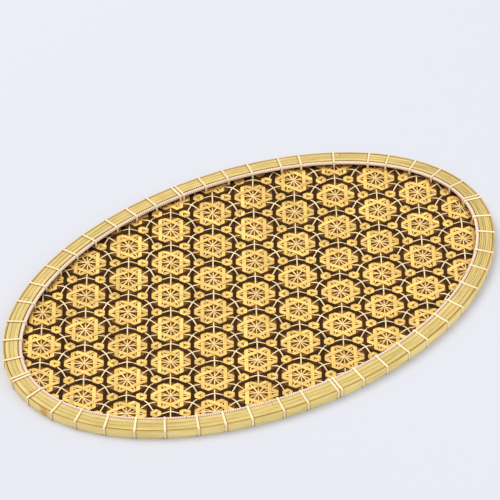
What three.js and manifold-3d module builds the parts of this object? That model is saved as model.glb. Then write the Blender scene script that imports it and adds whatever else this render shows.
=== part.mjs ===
// Oval serving tray of woven bamboo: a dished floor in a three-way hexagon weave, held at its edge
// in a rim of bent hoops, with a round cane along the inside and thin cane bound round it all.
// Millimetres, +Z up. The origin is on the resting plane under the middle, +X along the long axis.
import * as THREE from 'three';
import { mergeVertices } from 'three/addons/utils/BufferGeometryUtils.js';
import Module from 'manifold-3d';

const wasm = await Module();
wasm.setup();

// Rim plan: an ellipse, followed by straight sides that all have the same length of rim
const RIM_LENGTH = 440;
const RIM_BREADTH = 285;
const RIM_SIDES = 48;
const RIM_FINE_STEPS = 4000;

// Gaps: between pieces that touch, between the thin layers of the floor, and round the lashing
const SEAT_GAP = 0.3;
const LAYER_GAP = 0.2;
const LASHING_GAP = 0.25;
const JOINT_GAP = 0.4;

// Weave: pitch of the flowers, turn of the weave against the long axis, and how far the flower in the
// middle lies across from the middle of the rim
const FLOWER_PITCH = 40;
const WEAVE_TURN = THREE.MathUtils.degToRad(-2);
const WEAVE_SHIFT = -4.2;

// Flower: from its middle to each side of its six-sided ring, and the spokes that rise to a hub in it
const FLOWER_OPENING = 7.2;
const SPOKE_WIDTH = 1.1;
const HUB_RISE = 1.2;

// Floor layers from below: backing mat, net of pale strips, dark strips that cross two by two
const MAT_THICKNESS = 0.3;
const NET_THICKNESS = 0.4;
const DARK_THICKNESS = 0.45;
const DARK_WIDTH = 3;
const DARK_LIFT = 0.75;
const DARK_INSIDE = 4;
const FLOOR_GRIP = 3.8;
const FLOWER_MARGIN = 3;

// Hoops of the rim: the outer hoop stands on its lower edge, the others lie behind it
const OUTER_HOOP_THICKNESS = 1.4;
const OUTER_HOOP_HEIGHT = 7.9;
const CORE_WIDTH = 4.8;
const HOLD_WIDTH = 4.8;
const COVER_THICKNESS = 0.9;
const COVER_STRIPS = 3;
const COVER_RISE = 1.05;
const CANE_DIAMETER = 3.1;
const CANE_SIDES = 8;
const CANE_PROUD = 0.25;
const CANE_SEAT = 0.4;

// Sides of the rim on which the two ends of each hoop meet
const OUTER_JOINT = 3;
const CORE_JOINT = 9;
const BASE_JOINT = 16;
const INNER_JOINT = 40;
const CANE_JOINT = 30;
const COVER_JOINT = 5;
const COVER_JOINT_STEP = 14;

// Lashing: flat cane, one wrap to each side of the rim, four canes that meet in a double wrap
const LASHING_CANES = 4;
const LASHING_WIDTH = 1.8;
const LASHING_THICKNESS = 0.6;
const CANE_BEND = 45;
const DOUBLE_WRAP_STEP = 3.4;
const GROUND_GAP = 0.2;
const WRAP_SHIFT_STEP = 0.4;
const WRAP_SHIFT_MOST = 8;

// Colour and roughness of the bamboo and cane
const SKIN_BAMBOO = { color: '#dcc678', roughness: 0.45 };
const CORE_BAMBOO = { color: '#c9ab6c', roughness: 0.6 };
const PALE_BAMBOO = { color: '#f0ca7c', roughness: 0.5 };
const DARK_BAMBOO = { color: '#553d2b', roughness: 0.55 };
const MAT_BAMBOO = { color: '#6b4f30', roughness: 0.8 };
const ROUND_CANE = { color: '#f4dcbc', roughness: 0.6 };
const LASHING_CANE = { color: '#fae4b0', roughness: 0.5 };

// Rim across its width: distances in from the outer face of the outer hoop
const CORE_OUT = OUTER_HOOP_THICKNESS + SEAT_GAP;
const CORE_IN = CORE_OUT + CORE_WIDTH;
const HOLD_OUT = CORE_IN + SEAT_GAP;
const HOLD_IN = HOLD_OUT + HOLD_WIDTH;
const COVER_IN = HOLD_IN + SEAT_GAP;
const CANE_RADIUS = CANE_DIAMETER / 2;
const CANE_MIDDLE = COVER_IN + SEAT_GAP + CANE_RADIUS;
const CANE_IN = CANE_MIDDLE + CANE_RADIUS;
const LEG_MIDDLE = CANE_IN + LASHING_GAP + LASHING_THICKNESS / 2;
const SHEET_EDGE = HOLD_IN - FLOOR_GRIP;
const SLOT_IN = LEG_MIDDLE + LASHING_THICKNESS / 2 + LASHING_GAP;
const SLOT_WIDTH = LASHING_WIDTH + 2 * LASHING_GAP;

// Rim heights: the cover strips lie level with the outer hoop and the cane along their inner edge
const COVER_TOP_OUT = OUTER_HOOP_HEIGHT;
const COVER_SLOPE = COVER_RISE / (COVER_IN - CORE_OUT);
const CANE_HEIGHT = COVER_TOP_OUT + COVER_RISE + CANE_PROUD - CANE_RADIUS;
const LASHING_LOW = GROUND_GAP + LASHING_THICKNESS / 2;
const HOOPS_LOW = GROUND_GAP + LASHING_THICKNESS + SEAT_GAP;

// Floor heights at the rim: the layers hang from the cane down to the base hoop that carries them
const DARK_TOP = CANE_HEIGHT - CANE_RADIUS - CANE_SEAT;
const DARK_LOW = DARK_TOP - DARK_THICKNESS - DARK_LIFT;
const NET_LOW = DARK_LOW - LAYER_GAP - NET_THICKNESS;
const MAT_LOW = NET_LOW - LAYER_GAP - MAT_THICKNESS;
const BASE_TOP = MAT_LOW - SEAT_GAP;

// The floor sags in the middle until the mat is just clear of the resting plane
const FLOOR_DISH = MAT_LOW - GROUND_GAP;
const EDGE_RISE = 2 * FLOOR_DISH * (HOLD_IN - SHEET_EDGE) / (RIM_BREADTH / 2 - HOLD_IN);
const HOLD_LOW = DARK_TOP + EDGE_RISE + SEAT_GAP;

// Upper face of the cover strips at a distance in from the outer face
function coverTop(inward) {
  return COVER_TOP_OUT + COVER_SLOPE * (inward - CORE_OUT);
}

// Upper face of a hoop that lies under the cover strips
function underCover(inward) {
  return coverTop(inward) - COVER_THICKNESS - SEAT_GAP;
}

// Height that the dished floor adds to a layer's height at the rim: a shallow bowl
function dish(x, y) {
  const across = x / (RIM_LENGTH / 2 - HOLD_IN);
  const along = y / (RIM_BREADTH / 2 - HOLD_IN);
  return FLOOR_DISH * (across * across + along * along - 1);
}

// Corners of the rim at equal steps of length, found by walking round the ellipse in fine steps
function rimCorners(count) {
  const walked = [0];
  const place = (turn) => new THREE.Vector2(
    RIM_LENGTH / 2 * Math.cos(turn),
    RIM_BREADTH / 2 * Math.sin(turn),
  );
  const fineTurn = 2 * Math.PI / RIM_FINE_STEPS;
  for (let i = 1; i <= RIM_FINE_STEPS; i++) {
    walked.push(walked[i - 1] + place(fineTurn * i).distanceTo(place(fineTurn * (i - 1))));
  }
  const corners = [];
  let at = 0;
  for (let k = 0; k < count; k++) {
    const wanted = walked[RIM_FINE_STEPS] * k / count;
    while (walked[at + 1] < wanted) {
      at += 1;
    }
    const part = (wanted - walked[at]) / (walked[at + 1] - walked[at]);
    corners.push(place(fineTurn * (at + part)));
  }
  return corners;
}

// Side k of the rim runs from corner k to the next one: its start, direction, inward side and length
const corners = rimCorners(RIM_SIDES);
const sides = corners.map((start, k) => {
  const end = corners[(k + 1) % RIM_SIDES];
  const along = end.clone().sub(start).normalize();
  return { start, along, inward: new THREE.Vector2(-along.y, along.x), length: end.distanceTo(start) };
});

// Corner k moved in by a distance, so that each side stays parallel to itself
function cornerPoint(k, inward, z) {
  const here = sides[k % RIM_SIDES];
  const before = sides[(k + RIM_SIDES - 1) % RIM_SIDES];
  const bisector = here.inward.clone().add(before.inward).normalize();
  const reach = inward / bisector.dot(here.inward);
  return new THREE.Vector3(here.start.x + bisector.x * reach, here.start.y + bisector.y * reach, z);
}

// Point beside the middle of side k: shift along the rim, distance in, height
function sidePoint(k, shift, inward, z) {
  const side = sides[(k + RIM_SIDES) % RIM_SIDES];
  const along = side.length / 2 + shift;
  return new THREE.Vector3(
    side.start.x + side.along.x * along + side.inward.x * inward,
    side.start.y + side.along.y * along + side.inward.y * inward,
    z,
  );
}

// Closed surface through a row of outlines with equal numbers of points, capped at both ends
function loft(outlines) {
  const size = outlines[0].length;
  const positions = outlines.flat().flatMap((p) => [p.x, p.y, p.z]);
  const index = [];
  for (let i = 0; i + 1 < outlines.length; i++) {
    for (let j = 0; j < size; j++) {
      const a = i * size + j;
      const b = i * size + (j + 1) % size;
      index.push(a, b, b + size, a, b + size, a + size);
    }
  }
  const last = (outlines.length - 1) * size;
  for (let j = 1; j + 1 < size; j++) {
    index.push(0, j + 1, j, last, last + j, last + j + 1);
  }
  return closedGeometry(positions, index);
}

// Indexed geometry with its faces turned outwards
function closedGeometry(positions, index) {
  const at = (i) => new THREE.Vector3().fromArray(positions, 3 * i);
  let volume = 0;
  for (let i = 0; i < index.length; i += 3) {
    volume += at(index[i]).dot(at(index[i + 1]).cross(at(index[i + 2])));
  }
  if (volume < 0) {
    index.reverse();
  }
  const geometry = new THREE.BufferGeometry();
  geometry.setAttribute('position', new THREE.Float32BufferAttribute(positions, 3));
  geometry.setIndex(index);
  return geometry;
}

// Solid for joining and cutting, and its surface back as a geometry
function solidOf(source) {
  const bare = source.clone();
  bare.deleteAttribute('normal');
  bare.deleteAttribute('uv');
  const merged = mergeVertices(bare, 1e-4);
  return new wasm.Manifold(new wasm.Mesh({
    numProp: 3,
    vertProperties: new Float32Array(merged.attributes.position.array),
    triVerts: new Uint32Array(merged.index.array),
  }));
}

function geometryOf(solid) {
  const mesh = solid.getMesh();
  const geometry = new THREE.BufferGeometry();
  geometry.setAttribute('position', new THREE.BufferAttribute(mesh.vertProperties, 3));
  geometry.setIndex(new THREE.BufferAttribute(mesh.triVerts, 1));
  return geometry;
}

// Hoop bent round the rim from a profile of [inward, height] points, its ends a joint gap apart
function hoopGeometry(profile, jointSide) {
  const jointShift = sides[jointSide].length / 4;
  const outlines = [profile.map(([u, z]) => sidePoint(jointSide, jointShift + JOINT_GAP, u, z))];
  for (let k = 1; k <= RIM_SIDES; k++) {
    outlines.push(profile.map(([u, z]) => cornerPoint(jointSide + k, u, z)));
  }
  outlines.push(profile.map(([u, z]) => sidePoint(jointSide, jointShift, u, z)));
  return loft(outlines);
}

// Directions of the three families of strips, with the middle flower's place along and across each
const weaveCentre = new THREE.Vector2(0, WEAVE_SHIFT);
const families = ['long', 'left', 'right'].map((name, i) => {
  const turn = WEAVE_TURN + i * Math.PI / 3;
  const along = new THREE.Vector2(Math.cos(turn), Math.sin(turn));
  const across = new THREE.Vector2(-along.y, along.x);
  return { name, along, across, middle: weaveCentre.dot(along), shift: weaveCentre.dot(across) };
});
const ROW_STEP = FLOWER_PITCH * Math.sin(Math.PI / 3);

// Offsets of a family's dark strips, half way between the rows of flowers, from the middle outwards
// as far as they stay well inside the cane
function darkOffsets(family) {
  const reach = Math.hypot(
    family.across.x * (RIM_LENGTH / 2 - CANE_IN),
    family.across.y * (RIM_BREADTH / 2 - CANE_IN),
  ) - DARK_INSIDE;
  const offsets = [];
  const first = Math.ceil((-reach - family.shift) / ROW_STEP - 0.5);
  for (let row = first; (row + 0.5) * ROW_STEP + family.shift < reach; row++) {
    offsets.push((row + 0.5) * ROW_STEP + family.shift);
  }
  return offsets.sort((a, b) => Math.abs(a) - Math.abs(b));
}

// Half of the chord that the sheet's edge cuts off a line, and where the chord's middle lies
function chord(family, offset) {
  const a = RIM_LENGTH / 2 - SHEET_EDGE;
  const b = RIM_BREADTH / 2 - SHEET_EDGE;
  const { along, across } = family;
  const aa = (along.x / a) ** 2 + (along.y / b) ** 2;
  const ab = offset * (along.x * across.x / a ** 2 + along.y * across.y / b ** 2);
  const bb = offset ** 2 * ((across.x / a) ** 2 + (across.y / b) ** 2) - 1;
  return { middle: -ab / aa, half: Math.sqrt(ab * ab - aa * bb) / aa };
}

// Height of a dark strip over its lowest level: straight up and down between its crossings, which
// lie half a pitch apart, half way between two flowers, and are low and high by turns
function darkLift(row, fromMiddle) {
  const step = fromMiddle / (FLOWER_PITCH / 2) - 0.5 + row;
  return DARK_LIFT * Math.abs(step - 2 * Math.round(step / 2));
}

// Dark strip: a flat ribbon, straight in plan, that ends square in the rim
function darkStripGeometry(family, offset) {
  const edges = [offset - DARK_WIDTH / 2, offset + DARK_WIDTH / 2].map((o) => chord(family, o));
  const start = Math.max(...edges.map((e) => e.middle - e.half));
  const end = Math.min(...edges.map((e) => e.middle + e.half));
  const { middle, shift } = family;
  const crossing = FLOWER_PITCH / 2;
  const row = Math.round((offset - shift) / ROW_STEP - 0.5);
  const first = Math.ceil((start - middle) / crossing - 0.5) + 0.5;
  const stops = [start];
  for (let t = first * crossing + middle; t < end; t += crossing) {
    stops.push(t);
  }
  stops.push(end);
  const outlines = stops.map((t) => [[-1, 0], [1, 0], [1, 1], [-1, 1]].map(([side, top]) => {
    const o = offset + side * DARK_WIDTH / 2;
    const x = family.along.x * t + family.across.x * o;
    const y = family.along.y * t + family.across.y * o;
    const z = DARK_LOW + dish(x, y) + darkLift(row, t - middle) + top * DARK_THICKNESS;
    return new THREE.Vector3(x, y, z);
  }));
  return loft(outlines);
}

// Shift of the wrap on side k: the least one whose legs pass clear between the dark strips
function wrapShift(k, legs) {
  const needed = DARK_WIDTH / 2 + LASHING_WIDTH / 2 + LASHING_GAP;
  const clear = (shift) => legs.every((leg) => {
    const p = sidePoint(k, shift + leg, LEG_MIDDLE, 0);
    return families.every((family) => {
      const across = p.x * family.across.x + p.y * family.across.y;
      return darkOffsets(family).every((offset) => Math.abs(across - offset) > needed);
    });
  });
  for (let shift = 0; shift <= WRAP_SHIFT_MOST; shift += WRAP_SHIFT_STEP) {
    if (clear(shift)) {
      return shift;
    }
    if (clear(-shift)) {
      return -shift;
    }
  }
  return 0;
}

// Wraps of each cane in order: the side of the rim and the shift from its middle
const sidesPerCane = RIM_SIDES / LASHING_CANES;
const canes = Array.from({ length: LASHING_CANES }, () => []);
for (let k = 0; k < RIM_SIDES; k++) {
  const cane = Math.floor(k / sidesPerCane);
  const last = k % sidesPerCane === sidesPerCane - 1;
  const legs = last ? [-DOUBLE_WRAP_STEP / 2, DOUBLE_WRAP_STEP / 2] : [0];
  const shift = wrapShift(k, legs);
  canes[cane].push({ side: k, shift: shift + legs[0] });
  if (last) {
    canes[(cane + 1) % LASHING_CANES].unshift({ side: k, shift: shift + legs[1] });
  }
}
const wraps = canes.flat();

// One wrap: [inward, height, facing] points from under the outer hoop, over the rim and down
// inside; the flat side faces out of the rim at 0 degrees, up at 90, into the tray at 180, down at 270.
// It turns over the cane in two corners, whose flats just clear it.
function wrapPath() {
  const off = LASHING_GAP + LASHING_THICKNESS / 2;
  const corner = CANE_BEND / 2;
  const bends = [1, 3].map((n) => {
    const turn = THREE.MathUtils.degToRad(90 + n * corner);
    const reach = (CANE_RADIUS + off) / Math.cos(THREE.MathUtils.degToRad(corner));
    return [CANE_MIDDLE - reach * Math.cos(turn), CANE_HEIGHT + reach * Math.sin(turn), 90 + n * corner];
  });
  return [
    [CORE_OUT + LASHING_WIDTH, LASHING_LOW, 270],
    [-off, LASHING_LOW, 315],
    [-off, OUTER_HOOP_HEIGHT + off, 45],
    ...bends,
    [LEG_MIDDLE, BASE_TOP, 200],
    [HOLD_IN, LASHING_LOW, 255],
  ];
}

// Lashing cane: all its wraps in one unbroken flat tube, each joined to the next under the hoops,
// as points with the way that the flat side faces
function lashingPath(cane) {
  const path = wrapPath();
  const last = cane[cane.length - 1];
  const stations = cane.flatMap(({ side, shift }) => (
    path.map(([inward, z, facing]) => ({ side, shift, inward, z, facing }))
  ));
  stations.push({ ...last, inward: (HOLD_OUT + HOLD_IN) / 2, z: LASHING_LOW, facing: 270 });
  return stations.map(({ side, shift, inward, z, facing }) => {
    const turn = THREE.MathUtils.degToRad(facing);
    const into = sides[side].inward;
    const normal = new THREE.Vector3(-into.x * Math.cos(turn), -into.y * Math.cos(turn), Math.sin(turn));
    return { point: sidePoint(side, shift, inward, z), normal };
  });
}

function lashingGeometry(cane) {
  const path = lashingPath(cane);
  const outlines = path.map(({ point, normal }, i) => {
    const before = path[Math.max(i - 1, 0)].point;
    const after = path[Math.min(i + 1, path.length - 1)].point;
    const arriving = point.clone().sub(before).normalize();
    const leaving = after.clone().sub(point).normalize();
    const along = arriving.add(leaving).normalize();
    const width = new THREE.Vector3().crossVectors(along, normal).normalize();
    const thick = new THREE.Vector3().crossVectors(width, along).normalize();
    return [[-1, -1], [1, -1], [1, 1], [-1, 1]].map(([w, t]) => point.clone()
      .addScaledVector(width, w * LASHING_WIDTH / 2)
      .addScaledVector(thick, t * LASHING_THICKNESS / 2));
  });
  return loft(outlines);
}

// Box under the outer hoop that leaves room for a wrap
function notchSolid({ side, shift }) {
  const through = 3 * OUTER_HOOP_THICKNESS;
  const box = new THREE.BoxGeometry(SLOT_WIDTH, through, 2 * HOOPS_LOW);
  box.rotateZ(Math.atan2(sides[side].along.y, sides[side].along.x));
  const at = sidePoint(side, shift, OUTER_HOOP_THICKNESS / 2, 0);
  box.translate(at.x, at.y, at.z);
  return solidOf(box);
}

function outerHoopGeometry() {
  const t = OUTER_HOOP_THICKNESS;
  const h = OUTER_HOOP_HEIGHT;
  let hoop = solidOf(hoopGeometry([[0, 0], [t, 0], [t, h], [0, h]], OUTER_JOINT));
  for (const wrap of wraps) {
    hoop = hoop.subtract(notchSolid(wrap));
  }
  return geometryOf(hoop);
}

// Cover strips side by side over the hoops, rising towards the inside of the tray
function coverStripGeometry(strip) {
  const width = (COVER_IN - CORE_OUT - (COVER_STRIPS - 1) * SEAT_GAP) / COVER_STRIPS;
  const out = CORE_OUT + strip * (width + SEAT_GAP);
  const upper = [out, out + width].map((u) => [u, coverTop(u)]);
  const lower = upper.map(([u, z]) => [u, z - COVER_THICKNESS]).reverse();
  return hoopGeometry([...upper, ...lower], COVER_JOINT + COVER_JOINT_STEP * strip);
}

function innerCaneGeometry() {
  const profile = Array.from({ length: CANE_SIDES }, (_, i) => {
    const turn = 2 * Math.PI * (i + 0.5) / CANE_SIDES;
    return [CANE_MIDDLE + CANE_RADIUS * Math.cos(turn), CANE_HEIGHT + CANE_RADIUS * Math.sin(turn)];
  });
  return hoopGeometry(profile, CANE_JOINT);
}

// Plan of the woven sheet: the rim's sides at the sheet's edge, slotted where the lashing goes down
function sheetPrism() {
  const outline = [];
  for (let k = 0; k < RIM_SIDES; k++) {
    outline.push(cornerPoint(k, SHEET_EDGE, 0));
    const here = wraps.filter((wrap) => wrap.side === k).sort((a, b) => a.shift - b.shift);
    for (const { shift } of here) {
      outline.push(sidePoint(k, shift - SLOT_WIDTH / 2, SHEET_EDGE, 0));
      outline.push(sidePoint(k, shift - SLOT_WIDTH / 2, SLOT_IN, 0));
      outline.push(sidePoint(k, shift + SLOT_WIDTH / 2, SLOT_IN, 0));
      outline.push(sidePoint(k, shift + SLOT_WIDTH / 2, SHEET_EDGE, 0));
    }
  }
  const shape = new THREE.Shape(outline.map((p) => new THREE.Vector2(p.x, p.y)));
  return solidOf(new THREE.ExtrudeGeometry(shape, { depth: OUTER_HOOP_HEIGHT, bevelEnabled: false }));
}

// Flower centres lie on a triangle grid; this is the centre in column i, row j. The points of a layer
// have their place in plan as x and y and their rise over the layer as z.
function flowerCentre(i, j) {
  const [first, second] = families;
  const centre = weaveCentre.clone()
    .addScaledVector(first.along, i * FLOWER_PITCH)
    .addScaledVector(second.along, j * FLOWER_PITCH);
  return new THREE.Vector3(centre.x, centre.y, 0);
}

// Point of a flower from its middle: ahead and to the left, facing one sixth or more of a turn round
function flowerPoint(centre, sixths, ahead, left, rise) {
  const turn = WEAVE_TURN + sixths * Math.PI / 3;
  const x = centre.x + ahead * Math.cos(turn) - left * Math.sin(turn);
  const y = centre.y + ahead * Math.sin(turn) + left * Math.cos(turn);
  return new THREE.Vector3(x, y, rise);
}

// Ring of a flower: six corners that point at the neighbouring flowers, each as its right and its left
// point, a spoke's width apart. A flower that the rim cuts stays closed: there the two are one.
function flowerRing(centre) {
  const reach = FLOWER_OPENING / Math.cos(Math.PI / 6);
  const corners6 = [0, 1, 2, 3, 4, 5].map((n) => flowerPoint(centre, n, reach, 0, 0));
  const whole = corners6.every((p) => insideFloor(p, SLOT_IN + FLOWER_MARGIN));
  const half = whole ? SPOKE_WIDTH / 2 : 0;
  const ahead = reach - half / Math.tan(Math.PI / 3);
  const right = corners6.map((_, n) => flowerPoint(centre, n, ahead, -half, 0));
  const left = corners6.map((_, n) => flowerPoint(centre, n, ahead, half, 0));
  return { whole, right, left };
}

// Six spokes from the ring up to a hub, as plan triangles
function spokeTriangles(centre, ring) {
  const hub = ring.left.map((_, n) => flowerPoint(centre, n + 0.5, SPOKE_WIDTH, 0, HUB_RISE));
  const spokes = ring.left.flatMap((left, n) => fan([hub[(n + 5) % 6], ring.right[n], left, hub[n]]));
  return [...spokes, ...fan(hub)];
}

function insideFloor(p, margin) {
  const x = p.x / (RIM_LENGTH / 2 - margin);
  const y = p.y / (RIM_BREADTH / 2 - margin);
  return x * x + y * y < 1;
}

// Plan triangles of the floor: for the mat two to each flower, and for the net the ground between the
// flowers, with spokes in each flower that lies whole on the floor
function floorTriangles(open) {
  const triangles = [];
  const columns = Math.ceil(RIM_LENGTH / FLOWER_PITCH);
  const beyond = -FLOWER_PITCH;
  for (let i = -columns; i <= columns; i++) {
    for (let j = -columns; j <= columns; j++) {
      const centre = flowerCentre(i, j);
      const right = flowerCentre(i + 1, j);
      const up = flowerCentre(i, j + 1);
      const down = flowerCentre(i + 1, j - 1);
      if (!insideFloor(centre, beyond)) {
        continue;
      }
      if (!open) {
        triangles.push([centre, right, up], [centre, down, right]);
        continue;
      }
      const own = flowerRing(centre);
      const [e, n, s] = [right, up, down].map(flowerRing);
      triangles.push(...fan([own.left[0], e.right[3], e.left[2], n.right[5], n.left[4], own.right[1]]));
      triangles.push(...fan([own.right[0], own.left[5], s.right[2], s.left[1], e.right[4], e.left[3]]));
      triangles.push(...fan([own.right[0], e.left[3], e.right[3], own.left[0]]));
      triangles.push(...fan([own.right[1], n.left[4], n.right[4], own.left[1]]));
      triangles.push(...fan([own.right[5], s.left[2], s.right[2], own.left[5]]));
      triangles.push(...(own.whole ? spokeTriangles(centre, own) : fan(own.left)));
    }
  }
  return triangles;
}

function fan(polygon) {
  return polygon.slice(1, -1).map((p, n) => [polygon[0], p, polygon[n + 2]]);
}

// Plate of even thickness over plan triangles, walled along every edge that only one of them has
function plateGeometry(triangles, low, thickness) {
  const keys = new Map();
  const points = [];
  const number = (p) => {
    const key = `${Math.round(p.x * 1000)},${Math.round(p.y * 1000)}`;
    if (!keys.has(key)) {
      keys.set(key, points.length);
      points.push(p);
    }
    return keys.get(key);
  };
  const numbered = triangles.map((corners3) => corners3.map(number));
  const faces = numbered.filter((three) => new Set(three).size === 3).map(([a, b, c]) => {
    const turn = points[b].clone().sub(points[a]).cross(points[c].clone().sub(points[a])).z;
    return turn > 0 ? [a, b, c] : [a, c, b];
  });
  const count = points.length;
  const level = (lift) => points.flatMap((p) => [p.x, p.y, low + dish(p.x, p.y) + p.z + lift]);
  const positions = [...level(0), ...level(thickness)];
  const edges = new Set(faces.flatMap(([a, b, c]) => [`${a},${b}`, `${b},${c}`, `${c},${a}`]));
  const index = faces.flatMap(([a, b, c]) => [a, c, b, a + count, b + count, c + count]);
  for (const edge of edges) {
    const [a, b] = edge.split(',').map(Number);
    if (!edges.has(`${b},${a}`)) {
      index.push(a, b, b + count, a, b + count, a + count);
    }
  }
  return closedGeometry(positions, index);
}

function sheetGeometry(open, low, thickness) {
  const plate = solidOf(plateGeometry(floorTriangles(open), low, thickness));
  return geometryOf(plate.intersect(sheetPrism()));
}

// Least distance of a lashing cane to its own next wrap, measured on the points of its path
function leastSelfGap(cane) {
  const points = lashingPath(cane).map(({ point }) => point);
  const perWrap = wrapPath().length;
  let least = Infinity;
  for (let i = 0; i < points.length; i++) {
    for (let j = i + perWrap - 2; j < points.length; j++) {
      least = Math.min(least, points[i].distanceTo(points[j]));
    }
  }
  return least - LASHING_WIDTH;
}
console.log(`least gap of a lashing cane to itself ${Math.min(...canes.map(leastSelfGap)).toFixed(1)} mm`);

const group = new THREE.Group();

function add(name, geometry, look) {
  const material = new THREE.MeshStandardMaterial(look);
  const flat = geometry.toNonIndexed();
  flat.computeVertexNormals();
  const mesh = new THREE.Mesh(flat, material);
  mesh.name = name;
  group.add(mesh);
}

add('outer_hoop', outerHoopGeometry(), SKIN_BAMBOO);
add('core_hoop', hoopGeometry([
  [CORE_OUT, HOOPS_LOW],
  [CORE_IN, HOOPS_LOW],
  [CORE_IN, underCover(CORE_IN)],
  [CORE_OUT, underCover(CORE_OUT)],
], CORE_JOINT), CORE_BAMBOO);
add('base_hoop', hoopGeometry([
  [HOLD_OUT, HOOPS_LOW],
  [HOLD_IN, HOOPS_LOW],
  [HOLD_IN, BASE_TOP],
  [HOLD_OUT, BASE_TOP],
], BASE_JOINT), CORE_BAMBOO);
add('inner_hoop', hoopGeometry([
  [HOLD_OUT, HOLD_LOW],
  [HOLD_IN, HOLD_LOW],
  [HOLD_IN, underCover(HOLD_IN)],
  [HOLD_OUT, underCover(HOLD_OUT)],
], INNER_JOINT), CORE_BAMBOO);
for (let strip = 0; strip < COVER_STRIPS; strip++) {
  add(`cover_strip_${strip + 1}`, coverStripGeometry(strip), SKIN_BAMBOO);
}
add('inner_cane', innerCaneGeometry(), ROUND_CANE);
canes.forEach((cane, n) => add(`lashing_cane_${n + 1}`, lashingGeometry(cane), LASHING_CANE));
add('backing_mat', sheetGeometry(false, MAT_LOW, MAT_THICKNESS), MAT_BAMBOO);
add('flower_net', sheetGeometry(true, NET_LOW, NET_THICKNESS), PALE_BAMBOO);
for (const family of families) {
  darkOffsets(family).forEach((offset, n) => {
    add(`dark_strip_${family.name}_${n + 1}`, darkStripGeometry(family, offset), DARK_BAMBOO);
  });
}

export default group;
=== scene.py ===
import math
from collections import namedtuple

import bpy
import numpy as np
from bpy.props import FloatProperty, FloatVectorProperty, IntProperty, PointerProperty
from bpy.types import Operator, Panel, PropertyGroup
from mathutils import Matrix, Vector


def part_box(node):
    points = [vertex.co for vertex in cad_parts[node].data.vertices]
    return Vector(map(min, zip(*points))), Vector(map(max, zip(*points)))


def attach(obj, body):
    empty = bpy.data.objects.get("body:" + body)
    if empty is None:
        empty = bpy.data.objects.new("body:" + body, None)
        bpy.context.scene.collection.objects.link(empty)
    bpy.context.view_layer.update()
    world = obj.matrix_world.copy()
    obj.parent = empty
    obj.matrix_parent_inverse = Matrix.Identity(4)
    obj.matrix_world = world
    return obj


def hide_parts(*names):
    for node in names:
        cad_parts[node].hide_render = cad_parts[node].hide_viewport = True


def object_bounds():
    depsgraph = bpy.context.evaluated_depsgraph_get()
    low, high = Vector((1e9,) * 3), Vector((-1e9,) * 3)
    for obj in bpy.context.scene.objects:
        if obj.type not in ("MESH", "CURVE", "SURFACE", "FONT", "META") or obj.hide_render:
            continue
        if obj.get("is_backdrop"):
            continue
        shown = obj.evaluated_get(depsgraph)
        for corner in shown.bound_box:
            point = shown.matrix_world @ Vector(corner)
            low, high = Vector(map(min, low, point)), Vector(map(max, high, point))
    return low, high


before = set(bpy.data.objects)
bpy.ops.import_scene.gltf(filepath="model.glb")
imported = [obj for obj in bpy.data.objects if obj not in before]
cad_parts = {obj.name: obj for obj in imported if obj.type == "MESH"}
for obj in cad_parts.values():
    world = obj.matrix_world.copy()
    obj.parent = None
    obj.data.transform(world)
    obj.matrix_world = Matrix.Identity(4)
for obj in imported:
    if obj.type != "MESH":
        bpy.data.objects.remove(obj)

bl_info = {
    "name": "Woven Bamboo Tray",
    "version": (1, 0, 0),
    "blender": (4, 5, 0),
    "location": "3D View > Sidebar > Tray",
    "description": "Builds an oval bamboo tray with a hexagon flower weave and a bound rim",
    "category": "Object",
}

MM = 0.001
CAD_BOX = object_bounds()
HOOP_LENGTH, HOOP_BREADTH, HOOP_HEIGHT = (round(high - low, 5) for low, high in zip(*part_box("outer_hoop")))

# Rim: gaps, widths, distances in from the outer face and heights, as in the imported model
SEAT_GAP = 0.3 * MM
CORE_WIDTH = 4.8 * MM
HOLD_WIDTH = 4.8 * MM
CANE_PROUD = 0.25 * MM
HOOPS_LOW = 1.1 * MM
BASE_TOP = 3.1 * MM
HOLD_LOW = 6.2 * MM
HOOP_ROUND = 0.38 * MM
CORE_ROUND = 0.4 * MM
HOLD_ROUND = 0.2 * MM
CORE_COVER = 1.2 * MM
COVER_THICKNESS = 0.9 * MM
COVER_ROUND = 0.3 * MM
COVER_SEAM = 0.07 * MM
COVER_TONES = (0.55, 0.4, 0.75)

# Joint of each hoop as a share of the way round, half the gap in it, and the steps along a hoop
OUTER_JOINT, CORE_JOINT, BASE_JOINT, HOLD_JOINT, CANE_JOINT = (
    share / 48 for share in (3.25, 9.25, 16.25, 40.25, 30.25))
COVER_JOINTS = (5.25 / 48, 19.25 / 48, 33.25 / 48)
JOINT_HALF = 0.2 * MM
SKIN_STEP = 0.6 * MM
CORE_STEP = 3 * MM
CANE_STEP = 0.32 * MM
WALK_POINTS = 20001

# Round cane: points of its section, depth of its ribs as a share of its radius, and their pitch
CANE_POINTS = 14
RIB_DEPTH = 0.06
RIB_PITCH = 1.9 * MM

# Lashing: canes, room that a leg needs beside a dark strip, and how a wrap is moved to find it
LASHING_CANES = 4
LEG_MIDDLE = 15.85 * MM
LEG_ROOM = 2.65 * MM
DOUBLE_HALF = 1.7 * MM
SHIFT_STEP = 0.4 * MM
SHIFT_TRIES = 21
LASHING_CLEAR = 0.06 * MM
LASHING_LOW = 0.5 * MM
LASHING_END = 9.2 * MM
LOWER_BEND = 0.55 * MM
UPPER_BEND = 0.45 * MM
LEG_LENGTH = 4.2 * MM
FACING_DOWN = 630.0

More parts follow.
